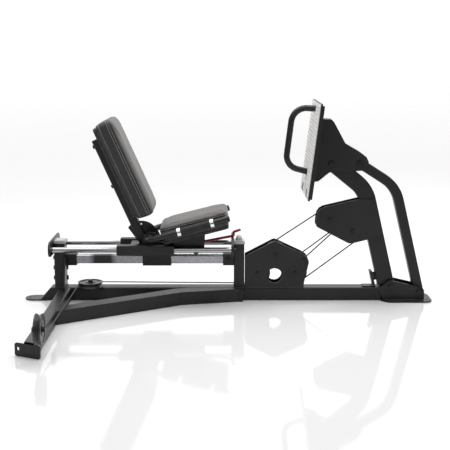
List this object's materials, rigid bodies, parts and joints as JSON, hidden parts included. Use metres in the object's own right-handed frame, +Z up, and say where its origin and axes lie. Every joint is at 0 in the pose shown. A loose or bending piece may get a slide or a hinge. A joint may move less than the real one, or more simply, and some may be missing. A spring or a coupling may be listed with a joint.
{
  "type": "leg press attachment for a cable gym",
  "caption": "Seated leg press attachment: sliding seat on rails, reclining backrest, foot plate on a two-arm linkage and a cable run over pulleys to a gym's weight stack.",
  "frame": {"origin": "on the floor under the front press arm's lower pivot, in the machine's centre plane", "axes": "+X from the seat towards the foot plate and the press arms, +Y away from the gym side, +Z up"},
  "size_m": [1.885, 1.22, 0.9148],
  "materials": {
    "frame_black": "satin",
    "pivot_black": "satin",
    "rail_chrome": "polished",
    "bar_zinc": "galvanised",
    "pulley_grey": "matt",
    "cap_grey": "satin",
    "cable_black": "coated wire",
    "rubber": "matt",
    "bush": "matt",
    "bronze": "machined",
    "tread_grey": "textured",
    "lever_red": "gloss",
    "pin_steel": "bright",
    "collar_white": "gloss",
    "board": "painted plywood",
    "upholstery": "grained vinyl"
  },
  "bodies": {
    "base": {"main_base_tube": "frame_black", "rear_base_tube": "frame_black", "brace_tube": "frame_black", "cross_tube": "frame_black", "joint_flanges": "frame_black", "link_bracket": "frame_black", "rear_foot_plate": "frame_black", "pivot_foot_plate": "frame_black", "pivot_side_plates": "frame_black", "base_pivot_bolts": "pivot_black", "stop_bracket": "frame_black", "stop_rubber": "rubber", "rear_post": "frame_black", "post_caps": "cap_grey", "post_gusset": "frame_black", "front_upright": "frame_black", "rail_end_plates": "frame_black", "guide_rails": "rail_chrome", "adjuster_bar": "bar_zinc", "bar_brackets": "frame_black", "frame_bolts": "pivot_black", "pulley_box_plates": "frame_black", "pulley_bolts": "pivot_black", "base_cable": "cable_black", "arm_cable_runs": "cable_black"},
    "front_arm": {"front_arm": "frame_black", "front_arm_bushes": "bronze", "arm_pulley_plates": "frame_black", "arm_pulley_bolts": "pivot_black", "arm_cable": "cable_black"},
    "rear_arm": {"rear_arm": "frame_black"},
    "foot_carriage": {"foot_carriage": "frame_black", "foot_plate": "frame_black", "foot_tread": "tread_grey", "grab_handle": "frame_black", "foot_pivot_bolts": "pivot_black"},
    "seat_carriage": {"carriage_sleeves": "frame_black", "rail_bushes": "bush", "carriage_frame": "frame_black", "bar_slider": "frame_black", "pin_housing": "frame_black", "seat_handle": "frame_black", "handle_grips": "rubber", "grip_collars": "collar_white", "seat_board": "board", "seat_pad": "upholstery"},
    "backrest": {"back_upright": "frame_black", "back_board": "board", "back_pad": "upholstery", "back_bolts": "pivot_black"},
    "release_lever": {"release_lever": "lever_red"},
    "lock_pin": {"lock_pin": "pin_steel"},
    "recline_pin": {"recline_pin": "pin_steel"},
    "pulley_low_rear": {"lower_rear_pulley": "pulley_grey"},
    "pulley_base_top": {"upper_base_pulley": "pulley_grey"},
    "pulley_low_front": {"lower_front_pulley": "pulley_grey"},
    "pulley_arm_rear": {"arm_rear_pulley": "pulley_grey"},
    "pulley_arm_front": {"arm_front_pulley": "pulley_grey"},
    "pulley_turning": {"turning_pulley": "pulley_grey"},
    "pulley_side": {"side_pulley_wheel": "pulley_grey"}
  },
  "joints": [
    {"name": "press_arm", "type": "hinge", "parent": "base", "child": "front_arm", "pos_m": [0, 0, 0.066], "axis": [0, 1, 0], "range_deg": [0, 28], "deforming": ["arm_cable_runs"]},
    {"name": "rear_arm_hinge", "type": "hinge", "parent": "base", "child": "rear_arm", "pos_m": [0.133, 0, 0.04], "axis": [0, 1, 0], "range_deg": [0, 26.9]},
    {"name": "foot_carriage_hinge", "type": "hinge", "parent": "front_arm", "child": "foot_carriage", "pos_m": [-0.283, 0, 0.635], "axis": [0, 1, 0], "range_deg": [-27.4, 0]},
    {"name": "pulley_low_rear_spin", "type": "hinge", "parent": "base", "child": "pulley_low_rear", "pos_m": [-0.614, 0, 0.1265], "axis": [0, 1, 0], "range_deg": [-766.1, 0]},
    {"name": "pulley_base_top_spin", "type": "hinge", "parent": "base", "child": "pulley_base_top", "pos_m": [-0.534, 0, 0.212], "axis": [0, 1, 0], "range_deg": [0, 766.1]},
    {"name": "pulley_low_front_spin", "type": "hinge", "parent": "base", "child": "pulley_low_front", "pos_m": [-0.444, 0, 0.127], "axis": [0, 1, 0], "range_deg": [-321.8, 0]},
    {"name": "pulley_arm_rear_spin", "type": "hinge", "parent": "front_arm", "child": "pulley_arm_rear", "pos_m": [-0.285, 0, 0.378], "axis": [0, 1, 0], "range_deg": [0, 515.6]},
    {"name": "pulley_arm_front_spin", "type": "hinge", "parent": "front_arm", "child": "pulley_arm_front", "pos_m": [-0.181, 0, 0.324], "axis": [0, 1, 0], "range_deg": [-187.7, 0]},
    {"name": "pulley_turning_spin", "type": "hinge", "parent": "base", "child": "pulley_turning", "pos_m": [-1.389, -0.028, 0.074], "axis": [0, 0, 1], "range_deg": [-766.1, 0]},
    {"name": "pulley_side_spin", "type": "hinge", "parent": "base", "child": "pulley_side", "pos_m": [-1.46, -0.95, 0.121], "axis": [1, 0, 0], "range_deg": [0, 731.4]},
    {"name": "seat_slide", "type": "slide", "parent": "base", "child": "seat_carriage", "axis": [1, 0, 0], "range_m": [-0.25, 0]},
    {"name": "back_recline", "type": "hinge", "parent": "seat_carriage", "child": "backrest", "pos_m": [-1.15, 0, 0.29], "axis": [0, 1, 0], "range_deg": [0, 20]},
    {"name": "lever_hinge", "type": "hinge", "parent": "seat_carriage", "child": "release_lever", "pos_m": [-1, 0, 0.262], "axis": [0, -1, 0], "range_deg": [-2.4, 0]},
    {"name": "lock_pin_slide", "type": "slide", "parent": "seat_carriage", "child": "lock_pin", "axis": [0, 0, 1], "range_m": [-0.0042, 0]},
    {"name": "recline_pin_slide", "type": "slide", "parent": "backrest", "child": "recline_pin", "axis": [0, 1, 0], "range_m": [-0.012, 0]}
  ],
  "couplings": [
    {"joint": "rear_arm_hinge", "follows": "press_arm", "ratio": 0.95913},
    {"joint": "foot_carriage_hinge", "follows": "press_arm", "ratio": -0.97728},
    {"joint": "pulley_low_rear_spin", "follows": "press_arm", "ratio": -27.326},
    {"joint": "pulley_base_top_spin", "follows": "press_arm", "ratio": 27.326},
    {"joint": "pulley_low_front_spin", "follows": "press_arm", "ratio": -11.459},
    {"joint": "pulley_arm_rear_spin", "follows": "press_arm", "ratio": 18.377},
    {"joint": "pulley_arm_front_spin", "follows": "press_arm", "ratio": -6.6691},
    {"joint": "pulley_turning_spin", "follows": "press_arm", "ratio": -27.326},
    {"joint": "pulley_side_spin", "follows": "press_arm", "ratio": 26.084},
    {"joint": "lock_pin_slide", "follows": "lever_hinge", "m_per_rad": 0.1}
  ]
}
